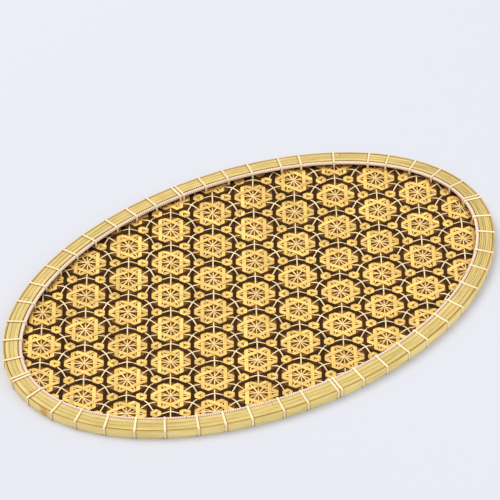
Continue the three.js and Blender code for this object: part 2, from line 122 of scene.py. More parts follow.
# Outer hoop and cover strips: notches for the wraps, painted shadow and grime on one side of each wrap,
# stains on the skin, and unevenness
NOTCH_HEIGHT = 1.15 * MM
NOTCH_HALF = 1.9 * MM
NOTCH_EDGE = 0.5 * MM
SHADOW_AND_DIRT_PLACE = 1.3 * MM
SHADOW_AND_DIRT_WIDTH = 0.45 * MM
HOOP_STAIN = 0.5265
COVER_STAIN = 0.509
STAIN_REACH = 7 * MM
RIPPLE = 0.05 * MM
RIPPLE_UP = 0.035 * MM

# Floor: where it ends under the rim, where it is pressed down and the share of height left there, and
# where the painted shade under the cane ends
FLOOR_INSET = 9.5 * MM
SHORTEST_STRIP = 6 * MM
SHORTEST_MAT = 8 * MM
PRESS_START = 14 * MM
PRESS_WIDTH = 9 * MM
PRESSED = 0.6
SHADE_START = 15 * MM
SHADE_WIDTH = 4.5 * MM
WANDER_LENGTH = 90 * MM
LATTICE = range(-16, 17)

# Weave, as shares of the pitch: from a flower's middle to the strips of its ring, to where its floor
# and mat change colour, in painted light and shade, and the width of that change
RING = 0.2231
FLOWER_REACH = 0.3
MAT_REACH = 0.2
REACH_WIDTH = 0.08

# Heights of the strips and their crossings over the bowl of the floor, and how long they stay level
PALE_MIDDLE = 4.45 * MM
FLOWER_RISE = 0.28 * MM
CROSS_HALF = 0.2 * MM
VERTEX_LOW = 4.82 * MM
VERTEX_HIGH = 5.28 * MM
DARK_MIDDLE = 5.08 * MM
UNDER_RING = 4.16 * MM
OVER_RING = 5.12 * MM
UNDER_TIP = 3.9 * MM
MAT_MIDDLE = 3.46 * MM
MAT_THICKNESS = 0.17 * MM
MAT_WAVE = 0.09 * MM
PALE_REST = 2.4 * MM
DARK_REST = 2.6 * MM

# Families of strips, and how far inside the rim a row must reach to get a dark strip
FAMILIES = ("long", "left", "right")
DARK_INNER = 15.3 * MM
DARK_MARGIN = 4 * MM

# Kinds of strip: thickness, step in length, wander, how far off it is laid, and how its width varies.
# The bevel of its edges is a share of its width
STRIP_BEVEL = 0.11
StripKind = namedtuple("StripKind", "thickness step wander scatter vary")
PALE = StripKind(0.36 * MM, 1.5 * MM, 0.06 * MM, 0.12 * MM, 0.04)
DARK = StripKind(0.42 * MM, 1.4 * MM, 0.05 * MM, 0, 0)
ROW = StripKind(0.24 * MM, 1.3 * MM, 0.12 * MM, 0.2 * MM, 0.1)
ARCH = StripKind(0.24 * MM, 1.2 * MM, 0.12 * MM, 0.2 * MM, 0.1)

# Share of skin at each point of a section: 1 on the skin, 0 on the cut edges
STRIP_SKIN = (0, 0, 1, 1, 0, 0, 1, 1)
COVER_SKIN = (0, 0, 0, 0, 0, 0, 0, 0.6, 1, 1, 0.6, 0)
MAT_TOP = (0, 1, 1, 1, 1, 0, 0, 0)
HOOP_SKIN = (1, 1, 1, 0, 0, 0, 0, 0, 0, 0, 0.35, 1)

# Tints that a base colour is multiplied by
WHITE = (1, 1, 1, 1)
CUT_EDGE = (0.56, 0.45, 0.25, 1)
COVER_EDGE = (0.72, 0.58, 0.36, 1)
# Cut edges of the pale strips: their own browner colour, with painted shade where the strips overlap
STRIP_EDGE_AND_SHADE = (0.76, 0.58, 0.36, 1)
# Painted shade in the valleys between the ribs of the cane
PAINTED_RIB_SHADE = (0.62, 0.46, 0.31, 1)
# Painted shade on the floor strips and mat just inside the rim, under the cane
CANE_SHADE = (0.52, 0.4, 0.28, 1)
SKIN_STREAKS = ((0.78, 0.88, 0.55, 1), (1.0, 0.92, 0.84, 1))
GROOVE = (0.48, 0.43, 0.27, 1)
# Painted shadow of each wrap, with grime, on one side of it
SHADOW_AND_DIRT = (0.55, 0.4, 0.25, 1)
STAIN = (0.8, 0.5, 0.24, 1)
# Painted shade on strips that lie deep in the weave
DEEP_SHADE = (0.22, 0.12, 0.05, 1)

# More grooves where the cover is worn, the depth of relief, and the heights below which painted shade darkens
# the strips deep in the weave
WORN_GROOVES = 0.08
RELIEF = 0.2 * MM
PALE_DEEP = 3.7 * MM
THIN_DEEP = 3.85 * MM
DEEP_REACH = 0.6 * MM

# Stage: half the side of the floor and its two tones, the soft sky, and place, size, power and tint
# of each light
FLOOR_HALF = 6.0
FLOOR_TONES = ("cfd1d9", "d1d3db")
SKY = ("f6f8fc", 0.8)
LIGHTS = (
    ("Key", (-0.9, 2.4, 4.0), 3.2, 140, "fffaf4"),
    ("Fill", (0.9, -1.4, 1.4), 1.8, 11, "fbfaf8"),
)

# Camera: turn, rise and roll, the point it looks at, its distance, and its lens and picture in pixels
VIEW_TURN, VIEW_RISE, VIEW_ROLL = (math.radians(angle) for angle in (-32.2, 41.2, -1.16))
VIEW_AIM = (26.7 * MM, 45.7 * MM, 0)
VIEW_DISTANCE = 2.76
LENS_PIXELS = 3330
PICTURE_PIXELS = 500
SENSOR_WIDTH = 36
FARTHEST = 50


def srgb(code):
    """Linear colour with alpha from a six-digit sRGB code."""
    parts = np.array([int(code[i:i + 2], 16) / 255 for i in (0, 2, 4)])
    linear = np.where(parts <= 0.04045, parts / 12.92, ((parts + 0.055) / 1.055) ** 2.4)
    return (*linear.tolist(), 1.0)


def length(name, description, default):
    """A length property in metres."""
    return FloatProperty(
        name=name, description=description, default=default, min=0.0, unit="LENGTH", precision=5)


def colour(name, description, code):
    """A colour property from an sRGB code."""
    return FloatVectorProperty(
        name=name, description=description, default=srgb(code), min=0.0, max=1.0, subtype="COLOR", size=4)


class TrayRimSizes(PropertyGroup):
    """Sizes of the bound rim."""

    long_axis: length("Length", "Outer length of the rim", HOOP_LENGTH)
    short_axis: length("Breadth", "Outer breadth of the rim", HOOP_BREADTH)
    wraps: IntProperty(
        name="Wraps", description="Places where the lashing goes round the rim", default=48, min=8)
    hoop_height: length("Hoop height", "Height of the outer hoop", HOOP_HEIGHT)
    hoop_thickness: length("Hoop thickness", "Thickness of the outer hoop", 1.4 * MM)
    cover_rise: length("Cover rise", "Rise of the cover strips towards the inside", 1.05 * MM)
    cane_diameter: length("Cane", "Diameter of the round cane inside the rim", 3.1 * MM)
    lashing_width: length("Lashing width", "Width of the flat lashing cane", 1.8 * MM)
    lashing_thickness: length("Lashing thickness", "Thickness of the flat lashing cane", 0.55 * MM)


class TrayWeaveSizes(PropertyGroup):
    """Sizes of the woven floor."""

    pitch: length("Flower pitch", "Distance between neighbouring flowers", 40 * MM)
    turn: FloatProperty(
        name="Turn", description="Turn of the weave against the long axis", default=math.radians(-2),
        subtype="ANGLE")
    shift: FloatProperty(
        name="Shift", description="How far the middle flower lies across from the middle of the rim",
        default=-4.2 * MM, unit="LENGTH", precision=5)
    sag: length("Sag", "How far the middle of the floor lies below its edge", 3.2 * MM)
    dark_width: length("Dark strips", "Width of the dark strips", 2.95 * MM)
    pale_width: length("Pale strips", "Width of the pale strips", 3.2 * MM)
    thin_width: length("Thin strips", "Width of the thin pale strips", 1.0 * MM)
    mat_strip: length("Mat strips", "Pitch of the strips in the backing mat", 5.2 * MM)


class TrayColours(PropertyGroup):
    """Colours of the bamboo and cane."""

    skin: colour("Skin", "Yellow bamboo skin of the outer hoop", "fae096")
    cover: colour("Cover", "Yellow-green bamboo skin of the cover strips", "dec57c")
    # The core is brown so that the gaps between the rim pieces, where it shows, look dark: painted shade in
    # the gaps
    core: colour("Core", "Inner bamboo of the hidden hoops", "7a5a30")
    pale: colour("Pale strips", "Golden strips of the flowers", "f8cf74")
    # Thin strips are golden inside the flowers and cream outside them: painted light, golden light thrown
    # between the strips of a flower
    thin: colour("Thin strips", "Thin strips inside the flowers", "fbd890")
    bleached: colour("Bleached", "Thin strips where they arch over the crossings", "fde6b2")
    dark: colour("Dark strips", "Smoked dark strips", "42260b")
    mat: colour("Mat", "Backing mat", "98651f")
    mat_shade: colour("Mat shade", "Backing mat outside the flowers", "96682f")
    cane: colour("Cane", "Round cane", "fae3cd")
    lashing: colour("Lashing", "Flat lashing cane", "fde9bb")


def linked(name, data):
    """New object with its data, linked to the scene."""
    made = bpy.data.objects.new(name, data)
    bpy.context.scene.collection.objects.link(made)
    return made


def settings(context):
    """The sizes of the rim, the sizes of the weave and the colours."""
    return [getattr(context.scene, name) for name in GROUPS]


# Shapes along the rim and over the floor


def smoothstep(t):
    """Smooth step from 0 to 1 with level ends: 3 t squared less 2 t cubed."""
    t = np.clip(t, 0, 1)
    return t * t * (3 - 2 * t)


def rim_layout(rim):
    """Distances in from the outer face and heights that the pieces of the rim share."""
    core_out = rim.hoop_thickness + SEAT_GAP
    core_in = core_out + CORE_WIDTH
    hold_out = core_in + SEAT_GAP
    hold_in = hold_out + HOLD_WIDTH
    cover_in = hold_in + SEAT_GAP
    radius = rim.cane_diameter / 2
    return {
        "core": (core_out, core_in),
        "hold": (hold_out, hold_in),
        "cover": (core_out, cover_in),
        "cane": cover_in + SEAT_GAP + radius,
        "radius": radius,
        "cane_height": rim.hoop_height + rim.cover_rise + CANE_PROUD - radius,
        "slope": rim.cover_rise / (cover_in - core_out),
    }


def rim_walk(rim):
    """Fine walk round the ellipse: turn angles, length walked at each, and the whole length."""
    turns = np.linspace(0, 2 * np.pi, WALK_POINTS)
    x = rim.long_axis / 2 * np.cos(turns)
    y = rim.short_axis / 2 * np.sin(turns)
    walked = np.concatenate([[0], np.cumsum(np.hypot(np.diff(x), np.diff(y)))])
    return turns, walked, walked[-1]


def rim_points(rim, along, inward, height):
    """Points beside the rim: the ellipse at a length walked, moved in along its normal, at a height.
    The three inputs are broadcast together."""
    turns, walked, total = rim_walk(rim)
    along, inward, height = np.broadcast_arrays(along, inward, height)
    turn = np.interp(np.mod(along, total), walked, turns)
    a, b = rim.long_axis / 2, rim.short_axis / 2
    x, y = a * np.cos(turn), b * np.sin(turn)
    nx, ny = -np.cos(turn) / a, -np.sin(turn) / b
    size = np.hypot(nx, ny)
    return np.stack([x + inward * nx / size, y + inward * ny / size, height], -1)


def rim_past(rim, along, places):
    """Length from each place to each length walked, the short way round the rim."""
    total = rim_walk(rim)[2]
    return (along - places + total / 2) % total - total / 2


def rim_distance(x, y, rim):
    """Rough distance in from the rim's outer face: one less the elliptic radius, over its slope."""
    a, b = rim.long_axis / 2, rim.short_axis / 2
    radius = np.maximum(np.sqrt((x / a) ** 2 + (y / b) ** 2), 1e-6)
    slope = np.sqrt((x / a ** 2) ** 2 + (y / b ** 2) ** 2) / radius
    return (1 - radius) / np.maximum(slope, 1e-6)


def floor_sag(x, y, rim, weave):
    """Height that the bowl of the floor adds: sag times the squared elliptic radius less one."""
    inner = rim_layout(rim)["hold"][1]
    across = x / (rim.long_axis / 2 - inner)
    along = y / (rim.short_axis / 2 - inner)
    return weave.sag * (across ** 2 + along ** 2 - 1)


def ripple(rim, along, waves, amount, phase):
    """Slow unevenness round the rim: a few sines that close on themselves."""
    turn = 2 * np.pi * along[:, None] / rim_walk(rim)[2]
    return amount * sum(np.sin(n * turn + phase * n) / (1 + 0.2 * k) for k, n in enumerate(waves))


# Tubes: a section laid out at each step of a path


def flat_section(width, thickness, bevel=0.16 * MM):
    """Eight points round a flat strip with bevelled edges, in units of across and up."""
    w, t = width / 2, thickness / 2
    c = min(bevel, 0.45 * w)
    across = np.array([w, w, w - c, c - w, -w, -w, c - w, w - c])
    up = np.array([-0.3 * t, 0.3 * t, t, t, 0.3 * t, -0.3 * t, -t, -t])
    return across, up


def box_section(out, inn, low, high, round_by):
    """Twelve points round a profile with rounded corners, as distances in and heights. Low and high
    are the heights at the outer and inner edge."""
    corners = (
        (out + round_by, low[0] + round_by, 180),
        (inn - round_by, low[1] + round_by, 270),
        (inn - round_by, high[1] - round_by, 0),
        (out + round_by, high[0] - round_by, 90),
    )
    turns = [(u, z, math.radians(start + step)) for u, z, start in corners for step in (0, 45, 90)]
    return np.array([(u + round_by * math.cos(t), z + round_by * math.sin(t)) for u, z, t in turns]).T


def unit(vectors):
    """Vectors brought to length one."""
    return vectors / np.linalg.norm(vectors, axis=-1, keepdims=True)


def tube(path, side, section):
    """Tube grid: at each path point the section is laid out on the side vector and on the normal
    that is square to it and to the path, and points up."""
    up = unit(np.cross(side, unit(np.gradient(path, axis=0))))
    up = up * np.where(up[:, 2:] < 0, -1.0, 1.0)
    across, lift = section
    return path[:, None] + side * across[:, None] + up[:, None] * lift[:, None]


def hoop_walk(rim, joint, step):
    """Length walked to each ring of a hoop, from its joint round to its joint, less a small gap."""
    total = rim_walk(rim)[2]
    start = total * joint
    return np.linspace(start + JOINT_HALF, start + total - JOINT_HALF, int(total / step))


def hoop_grid(rim, section, joint, step, change=None):
    """Hoop bent round the rim: the section of distances in and heights at each step of length
    walked. Change bends the section along the way."""
    along = hoop_walk(rim, joint, step)
    inward, height = [np.broadcast_to(part, (len(along), len(part))) for part in section]
    if change is not None:
        inward, height = change(along, inward, height)
    return rim_points(rim, along[:, None], inward, height)


def outward_volume(grid):
    """Signed volume of a capped tube, to see whether its faces point outwards: the sum over its
    quads of the first corner dot the cross product of the others, about the tube's own middle."""
    grid = grid - grid.mean((0, 1))
    a, b = grid[:-1], np.roll(grid[:-1], -1, 1)
    c, d = np.roll(grid[1:], -1, 1), grid[1:]
    return (a * np.cross(b, c)).sum() + (a * np.cross(c, d)).sum()


def strip_map(grid):
    """Map of a tube in metres: length walked along its middle, and length round it."""
    along = np.linalg.norm(np.diff(grid.mean(1), axis=0), axis=1)
    around = np.linalg.norm(np.roll(grid, -1, 1) - grid, axis=2).mean(0)
    lengths = [np.concatenate([[0], np.cumsum(part)]) for part in (along, around)]
    return np.stack(np.meshgrid(*lengths, indexing="ij"), -1)


def tube_piece(name, grids, material, replaced, tones, sharp=50, marks=None, skin=None):
    """One mesh from tube grids of equal section counts: quads between neighbouring rings and a cap at
    each end. The strip map holds the length walked along and round the tube; tone is a number for
    each tube, by which its colour differs from the others, and skin a number for each point of the
    section. Each mark is an attribute worked out from the points of the mesh, or given as one number
    for each ring of the tube."""
    count = grids[0].shape[1]
    column = np.arange(count)
    following = (column + 1) % count
    corners = np.stack([column, following, following + count, column + count], -1)
    points, quads, quad_map, caps, cap_map, tone, share = [], [], [], [], [], [], []
    start = 0
    for grid, own in zip(grids, tones):
        bark = np.ones(count) if skin is None else np.array(skin, float)
        if outward_volume(grid) < 0:
            grid, bark = grid[:, ::-1], bark[::-1]
        rings = len(grid)
        last = start + count * (rings - 1)
        quads.append((start + count * np.arange(rings - 1)[:, None, None] + corners).reshape(-1, 4))
        caps += [(start + column[::-1]).tolist(), (last + column).tolist()]
        place = strip_map(grid)
        sides = [place[:-1, :-1], place[:-1, 1:], place[1:, 1:], place[1:, :-1]]
        quad_map.append(np.stack(sides, 2).reshape(-1, 2))
        cap_map += [place[0, :-1], place[-1, :-1]]
        points.append(grid.reshape(-1, 3))
        tone.append(np.full(rings * count, own))
        share.append(np.tile(bark, rings))
        start += rings * count
    points = np.concatenate(points)
    mesh = bpy.data.meshes.new(name)
    mesh.from_pydata(points.tolist(), [], np.concatenate(quads).tolist() + caps)
    uv = mesh.uv_layers.new(name="strip")
    uv.data.foreach_set("uv", np.concatenate(quad_map + cap_map).ravel())
    numbers = {"tone": np.concatenate(tone), "skin": np.concatenate(share)}
    for mark, value in (marks or {}).items():
        numbers[mark] = value(*points.T) if callable(value) else np.repeat(value, count)
    for mark, values in numbers.items():
        attribute = mesh.attributes.new(mark, "FLOAT", "POINT")
        attribute.data.foreach_set("value", values.astype(np.float32))
    mesh.polygons.foreach_set("use_smooth", np.ones(len(mesh.polygons), bool))
    mesh.set_sharp_from_angle(angle=math.radians(sharp))
    mesh.materials.append(material)
    mesh.update()
    piece = linked(name, mesh)
    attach(piece, "root")
    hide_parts(*replaced)


# Materials


def node_tree(name):
    """Helpers that add and join the nodes of a new material with a principled shader."""
    material = bpy.data.materials.new(name)
    material.use_nodes = True
    tree = material.node_tree
    shader = tree.nodes["Principled BSDF"]

    def add(kind, inputs=None, **values):
        node = tree.nodes.new(kind)
        for key, value in values.items():
            setattr(node, key, value)
        for key, value in (inputs or {}).items():
            if isinstance(value, bpy.types.NodeSocket):
                tree.links.new(value, node.inputs[key])
            else:
                node.inputs[key].default_value = value
        return node

    def ramp(value, *stops):
        made = add("ShaderNodeValToRGB", inputs={"Fac": value})
        for element, (place, tint) in zip(made.color_ramp.elements, (stops[0], stops[-1])):
            element.position = place
            element.color = tint
        for place, tint in stops[1:-1]:
            made.color_ramp.elements.new(place).color = tint
        return made.outputs["Color"]

    def finish(tint, roughness, gloss, normal=None):
        tree.links.new(tint, shader.inputs["Base Color"])
        shader.inputs["Roughness"].default_value = roughness
        shader.inputs["Specular IOR Level"].default_value = gloss
        if normal is not None:
            tree.links.new(normal, shader.inputs["Normal"])
        return material

    return add, ramp, finish


def shade(base, factor):
    """A colour made lighter or darker, with its alpha kept."""
    return (*[min(1.0, c * factor) for c in base[:3]], 1.0)


def strip_material(name, base, roughness, fibre=0.16, patch=0.12, grain=1500, bump=0.25, spread=0.18,
                   low=None, outer=None, rib=None, cut=None, streaks=None, edge=None, wrapped=None,
                   grooves=0.0, gloss=0.3):
    """Split bamboo: fine fibres that run along the strip, slow patches of lighter and darker colour,
    a tone of its own for each strip, and fibres in relief. Low is the height below which painted shade
    darkens the strip, deep down in the weave, outer its colour outside the flowers, which paints shade
    on the mat and light on the thin strips, rib the painted shade between the ribs of a cane, cut the
    tint of the cut edges, edge the painted shade under the cane, wrapped the tint of the painted shadow
    and grime beside the lashing, streaks two tints of long lines in the skin, and grooves the share of
    the width in darker splits that come and go along the strip."""
    add, ramp, finish = node_tree(name)

    def attribute(mark):
        return add("ShaderNodeAttribute", attribute_name=mark).outputs["Fac"]

    def combine(operation, *values):
        return add("ShaderNodeMath", operation=operation, inputs=dict(enumerate(values))).outputs[0]

    def rescale(value, low, high, to_low, to_high, kind="LINEAR"):
        inputs = {"Value": value, "From Min": low, "From Max": high, "To Min": to_low, "To Max": to_high}
        return add("ShaderNodeMapRange", interpolation_type=kind, inputs=inputs).outputs["Result"]

    def mix(blend, factor, first, second):
        inputs = {"Factor": factor, 6: first, 7: second}
        return add("ShaderNodeMix", data_type="RGBA", blend_type=blend, inputs=inputs).outputs[2]

    def noise(along, across, detail, rough=0.55):
        place = add("ShaderNodeMapping", inputs={"Vector": moved, "Scale": (along, across, 1)}).outputs[0]
        inputs = {"Vector": place, "Scale": 1.0, "Detail": detail, "Roughness": rough}
        return add("ShaderNodeTexNoise", inputs=inputs).outputs["Fac"]

    def tinted(first, value, *stops):
        return mix("MULTIPLY", 1.0, first, ramp(value, *stops))

    tone = attribute("tone")
    strip = add("ShaderNodeUVMap", uv_map="strip").outputs["UV"]
    shift = add("ShaderNodeVectorMath", operation="SCALE", inputs={0: (7.3, 3.1, 5.7), "Scale": tone})
    moved = add("ShaderNodeVectorMath", operation="ADD", inputs={0: strip, 1: shift.outputs[0]}).outputs[0]
    fibres = noise(70, grain, 4, 0.62)
    dim, bright = shade(base, 1 - 2.2 * fibre), shade(base, 1 + 1.1 * fibre)
    tint = ramp(fibres, (0.28, dim), (0.5, base), (0.74, bright))
    if outer is not None:
        tint = mix("MIX", combine("MULTIPLY", attribute("outside"), attribute("skin")), tint, outer)
    if rib is not None:
        tint = tinted(tint, attribute("rib"), (0.0, rib), (0.55, WHITE))
    if cut is not None:
        tint = tinted(tint, attribute("skin"), (0.0, cut), (0.9, WHITE))
    if wrapped is not None:
        # Painted shadow and grime on one side of each wrap
        tint = tinted(tint, attribute("dirt"), (0.0, WHITE), (1.0, wrapped))
        patchy = combine("MULTIPLY", attribute("stain"), noise(130, 420, 3))
        tint = tinted(tint, patchy, (0.3, WHITE), (0.52, STAIN))
    # Painted shade under the cane, from the clear mark
    if edge is not None:
        tint = tinted(tint, attribute("clear"), (0.0, edge), (1.0, WHITE))
    if streaks is not None:
        first, second = streaks
        tint = tinted(tint, noise(5, 620, 3, 0.6), (0.34, first), (0.46, WHITE), (0.56, WHITE), (0.7, second))
    dull = (1 - patch, 1 - 1.15 * patch, 1 - 1.5 * patch, 1)
    tint = tinted(tint, noise(25, 160, 2), (0.3, dull), (0.62, WHITE))
    relief = fibres
    if grooves:
        lines = noise(9, 1.35 * grain, 2, 0.4)
        few = rescale(noise(14, 90, 1), 0.35, 0.65, grooves, -0.5 * grooves)
        relief = combine("SUBTRACT", lines, combine("MULTIPLY_ADD", attribute("worn"), WORN_GROOVES, few))
        tint = tinted(tint, relief, (0.27, GROOVE), (0.35, WHITE))
    # Painted shade on the strip where it lies deep in the weave
    if low is not None:
        down = rescale(attribute("rise"), low, low + DEEP_REACH, 0.0, 1.0, "SMOOTHSTEP")
        tint = tinted(tint, down, (0.0, DEEP_SHADE), (1.0, WHITE))
    own = rescale(tone, 0.0, 1.0, 1 - spread, 1 + spread / 2)
    toned = add("ShaderNodeVectorMath", operation="SCALE", inputs={0: tint, "Scale": own}).outputs[0]
    bumped = add("ShaderNodeBump", inputs={"Height": relief, "Strength": bump, "Distance": RELIEF})
    return finish(toned, roughness, gloss, bumped.outputs["Normal"])


# Floor: three families of strips, each with its own direction along and across


def weave_axes(weave):
    """Direction along and across each of the three families, sixty degrees apart."""
    turns = weave.turn + np.arange(3) * np.pi / 3
    return [(np.array([math.cos(t), math.sin(t)]), np.array([-math.sin(t), math.cos(t)])) for t in turns]


def row_pitch(weave):
    """Distance between two rows of flowers."""
    return weave.pitch * math.sqrt(0.75)


def row_numbers(rim, weave, across):
    """Numbers of the flower rows that reach the floor, counted from the middle flower."""
    reach = math.hypot(across[0] * rim.long_axis / 2, across[1] * rim.short_axis / 2) + abs(weave.shift)
    most = int(reach / row_pitch(weave)) + 1
    return range(-most, most + 1)


def chord(rim, start, direction, inset):
    """Range of steps along a line that lie inside the ellipse of the rim moved in by an inset."""
    a, b = rim.long_axis / 2 - inset, rim.short_axis / 2 - inset
    dx, dy = direction[0] / a, direction[1] / b
    sx, sy = start[0] / a, start[1] / b
    aa, ab, bb = dx * dx + dy * dy, dx * sx + dy * sy, sx * sx + sy * sy - 1
    inside = ab * ab - aa * bb
    if inside <= 0:
        return None
    root = math.sqrt(inside)
    return (-ab - root) / aa, (-ab + root) / aa


def stepped_height(t, stops, heights, rests):
    """Height along a strip: level for a rest either side of each stop, and a smooth step between."""
    index = np.clip(np.searchsorted(stops, t) - 1, 0, len(stops) - 2)
    first, second = stops[index] + rests[index], stops[index + 1] - rests[index + 1]
    part = smoothstep((t - first) / np.maximum(second - first, 1e-6))
    return heights[index] + (heights[index + 1] - heights[index]) * part


def wander(t, rng, amount):
    """Small sideways wander of a hand-laid strip: two sines with a seeded phase."""
    first, second = rng.uniform(0, 2 * np.pi, 2)
    turn = np.pi * t / WANDER_LENGTH
    return amount * (np.sin(2 * turn + first) + 0.6 * np.sin(5.1 * turn + second))


def floor_strip(rim, weave, offset, direction, side, climb, width, kind, rng):
    """One strip of the floor. In plan it is a line at an offset from the middle flower, with a small
    wander. Its climb is the stops, heights and rests of its crossings over the bowl of the floor,
    pressed down a little towards the rim."""
    if kind.vary:
        offset += rng.normal(0, kind.scatter)
        width *= rng.uniform(1 - kind.vary, 1 + kind.vary)
    start = np.array([0.0, weave.shift]) + offset * side
    span = chord(rim, start, direction, FLOOR_INSET)
    if span is None or span[1] - span[0] < SHORTEST_STRIP:
        return None
    t = np.linspace(*span, max(6, int((span[1] - span[0]) / kind.step)))
    xy = start + t[:, None] * direction + wander(t, rng, kind.wander)[:, None] * side
    z = stepped_height(t, *np.array(climb).T)
    free = smoothstep((rim_distance(*xy.T, rim) - PRESS_START) / PRESS_WIDTH)
    z = PALE_MIDDLE + (z - PALE_MIDDLE) * (PRESSED + (1 - PRESSED) * free)
    path = np.column_stack([xy, z + floor_sag(*xy.T, rim, weave)])
    return tube(path, np.array([*side, 0.0]), flat_section(width, kind.thickness, STRIP_BEVEL * width))


def floor_marks(rim, weave, reach=FLOWER_REACH):
    """Marks of the floor's strips, which set where light and shade are painted on them: rise, the height
    over the bowl of the floor, below which painted shade darkens a strip; outside, which goes from 0 in a
    flower to 1 beyond its ring; and clear, which goes from 0 under the cane, in its painted shade, to 1 on
    the open floor. The nearest flower is found by rounding a point's place along the two sides of the
    lattice, with the next ones round it tried too."""
    (first, _), (second, _), _ = weave_axes(weave)
    sides = np.array([first, second]) * weave.pitch

    def rise(x, y, z):
        return z - floor_sag(x, y, rim, weave)

    def outside(x, y, z):
        place = np.column_stack([x, y - weave.shift])
        cell = np.round(place @ np.linalg.inv(sides))
        steps = np.array([(0, 0), (1, 0), (-1, 0), (0, 1), (0, -1), (1, -1), (-1, 1)])
        far = [np.linalg.norm(place - (cell + step) @ sides, axis=1) for step in steps]
        return smoothstep((np.min(far, axis=0) / weave.pitch - reach) / REACH_WIDTH)

    # Where the painted shade under the cane fades out towards the open floor
    def clear(x, y, z):
        return smoothstep((rim_distance(x, y, rim) - SHADE_START) / SHADE_WIDTH)

    return {"rise": rise, "outside": outside, "clear": clear}


def pale_strips(rim, weave, family, rng):
    """Wide pale strips of a family, one each side of every flower row. At a crossing with another
    pale strip a family lies over the next one round. They rise in a flower and dip under the dark
    strips, where the tips of two petals meet."""
    axes = weave_axes(weave)
    along, across = axes[family]
    crossed = [(number * row_pitch(weave) + side * RING * weave.pitch, other)
               for other in range(3) if other != family
               for number in LATTICE for side in (-1, 1)]
    for row in row_numbers(rim, weave, across):
        for side in (-1, 1):
            offset = row * row_pitch(weave) + side * RING * weave.pitch
            climb = []
            for target, other in crossed:
                normal = axes[other][1]
                t = (target - offset * (across @ normal)) / (along @ normal)
                share = (t / weave.pitch - row % 2 * 0.5) % 1.0
                rise = FLOWER_RISE if share < 0.25 or share > 0.75 else 0
                over = 1 if other == (family + 1) % 3 else -1
                climb.append((t, PALE_MIDDLE + rise + over * CROSS_HALF, PALE_REST))
            yield floor_strip(rim, weave, offset, along, across, sorted(climb), weave.pale_width, PALE, rng)


def dark_rows(rim, weave, across):
    """Rows after which a dark strip lies, nearest the middle of the rim first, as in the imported
    model."""
    reach = math.hypot(across[0] * (rim.long_axis / 2 - DARK_INNER),
                       across[1] * (rim.short_axis / 2 - DARK_INNER)) - DARK_MARGIN
    far = {row: abs((row + 0.5) * row_pitch(weave) + weave.shift * across[1])
           for row in row_numbers(rim, weave, across)}
    return sorted((row for row in far if far[row] < reach), key=far.get)


def dark_strip(rim, weave, family, row, rng):
    """Dark strip half way between two flower rows: low and high by turns where it crosses the other
    dark strips, every half pitch, and between them over the tips of the petals."""
    along, across = weave_axes(weave)[family]
    number = np.arange(4 * LATTICE[0], 4 * LATTICE[-1] + 1)
    parity = ((number - 1) // 2 + row) % 2
    heights = np.where(number % 2 == 0, DARK_MIDDLE, np.where(parity == 0, VERTEX_LOW, VERTEX_HIGH))
    climb = [(stop, height, DARK_REST) for stop, height in zip(number * weave.pitch / 4, heights)]
    offset = (row + 0.5) * row_pitch(weave)
    return floor_strip(rim, weave, offset, along, across, climb, weave.dark_width, DARK, rng)


def row_lines(rim, weave, family, rng):
    """Thin strips along the flower rows: they cross in each flower, go under its ring and pass over
    the dark crossings between two flowers."""
    along, across = weave_axes(weave)[family]
    middle = (4.3 + 0.24 * family) * MM
    over = 6.0 * MM if family == 2 else 5.68 * MM
    steps = ((-0.25, UNDER_RING, 2.0), (0, middle, 1.0), (0.25, UNDER_RING, 2.0), (0.5, over, 1.2))
    for row in row_numbers(rim, weave, across):
        climb = [((row % 2 * 0.5 + number + share) * weave.pitch, height, rest * MM)
                 for number in LATTICE for share, height, rest in steps]
        offset = row * row_pitch(weave)
        yield floor_strip(rim, weave, offset, along, across, climb, weave.thin_width, ROW, rng)


def arch_lines(rim, weave, family, rng):
    """Thin strips square to the flower rows, half a pitch apart: they cross in each flower, go over
    its ring and under the tips of its petals and the small flower behind, then rise in an arch over
    the dark crossing."""
    along, across = weave_axes(weave)[family]
    middle = (4.96 + 0.22 * family) * MM
    small = (3.7 + 0.12 * family) * MM
    over = 5.7 * MM if family == 2 else 6.05 * MM
    flower = ((-0.577, small, 0.7), (-0.42, UNDER_TIP, 1.2), (-0.225, OVER_RING, 1.4), (0, middle, 1.0),
              (0.225, OVER_RING, 1.4), (0.42, UNDER_TIP, 1.2), (0.577, small, 0.7))
    crossing = ((-0.215, UNDER_TIP, 0.2), (0, over, 0.5), (0.215, UNDER_TIP, 0.2))
    reach = math.hypot(along[0] * rim.long_axis / 2, along[1] * rim.short_axis / 2) + abs(weave.shift)
    most = int(2 * reach / weave.pitch) + 1
    for line in range(-most, most + 1):
        climb = [(row * row_pitch(weave) + share * weave.pitch, height, rest * MM)
                 for row in LATTICE for share, height, rest in (crossing if (row - line) % 2 else flower)]
        offset = line * weave.pitch / 2
        yield floor_strip(rim, weave, offset, across, along, climb, weave.thin_width, ARCH, rng)


def mat_strips(rim, weave, lengthwise, rng):
    """Strips of the backing mat in one of its two directions, over and under the others by turns:
    the height follows a cosine of the place along the strip and flips from strip to strip."""
    pitch = weave.mat_strip
    direction, side = np.eye(2) if lengthwise else np.eye(2)[::-1]
    most = int((rim.short_axis if lengthwise else rim.long_axis) / 2 / pitch)
    for number in range(-most, most + 1):
        start = side * number * pitch
        span = chord(rim, start, direction, FLOOR_INSET)
        if span is None or span[1] - span[0] < SHORTEST_MAT:
            continue
        t = np.linspace(*span, max(8, int((span[1] - span[0]) / (pitch / 2))))
        flip = 1 if (number + int(lengthwise)) % 2 == 0 else -1
        z = MAT_MIDDLE + MAT_WAVE * flip * np.cos(np.pi * t / pitch)
        xy = start + t[:, None] * direction
        path = np.column_stack([xy, z + floor_sag(*xy.T, rim, weave)])
        section = flat_section(pitch * rng.uniform(0.95, 0.985), MAT_THICKNESS)
        yield tube(path, np.array([*side, 0.0]), section)


# Lashing: the place of each wrap on the rim, and the cane that goes round it


